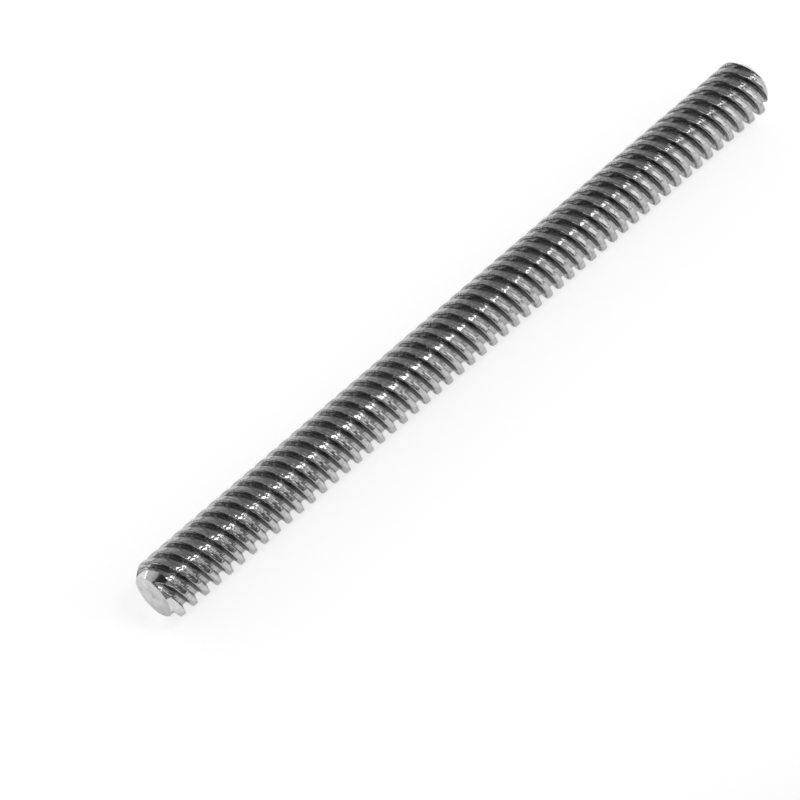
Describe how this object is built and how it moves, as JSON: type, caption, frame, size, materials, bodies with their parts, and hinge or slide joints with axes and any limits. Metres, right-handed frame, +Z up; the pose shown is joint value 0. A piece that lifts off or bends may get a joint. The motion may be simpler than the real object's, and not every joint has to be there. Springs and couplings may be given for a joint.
{
  "type": "trapezoidal lead screw",
  "caption": "Round steel lead screw with a right-hand multi-start trapezoidal thread from end to end and chamfered square ends.",
  "frame": {"origin": "on the ground under the middle of the screw's length", "axes": "+X along the screw's axis from the cut end towards the far end, +Z up, the screw lying on its side with its axis 4 mm above the ground"},
  "size_m": [0.107, 0.008, 0.008],
  "materials": {
    "rolled_steel": "bright rolled steel, darker in the grooves, with matt cut ends"
  },
  "bodies": {
    "root": {"lead_screw": "rolled_steel"}
  },
  "joints": []
}
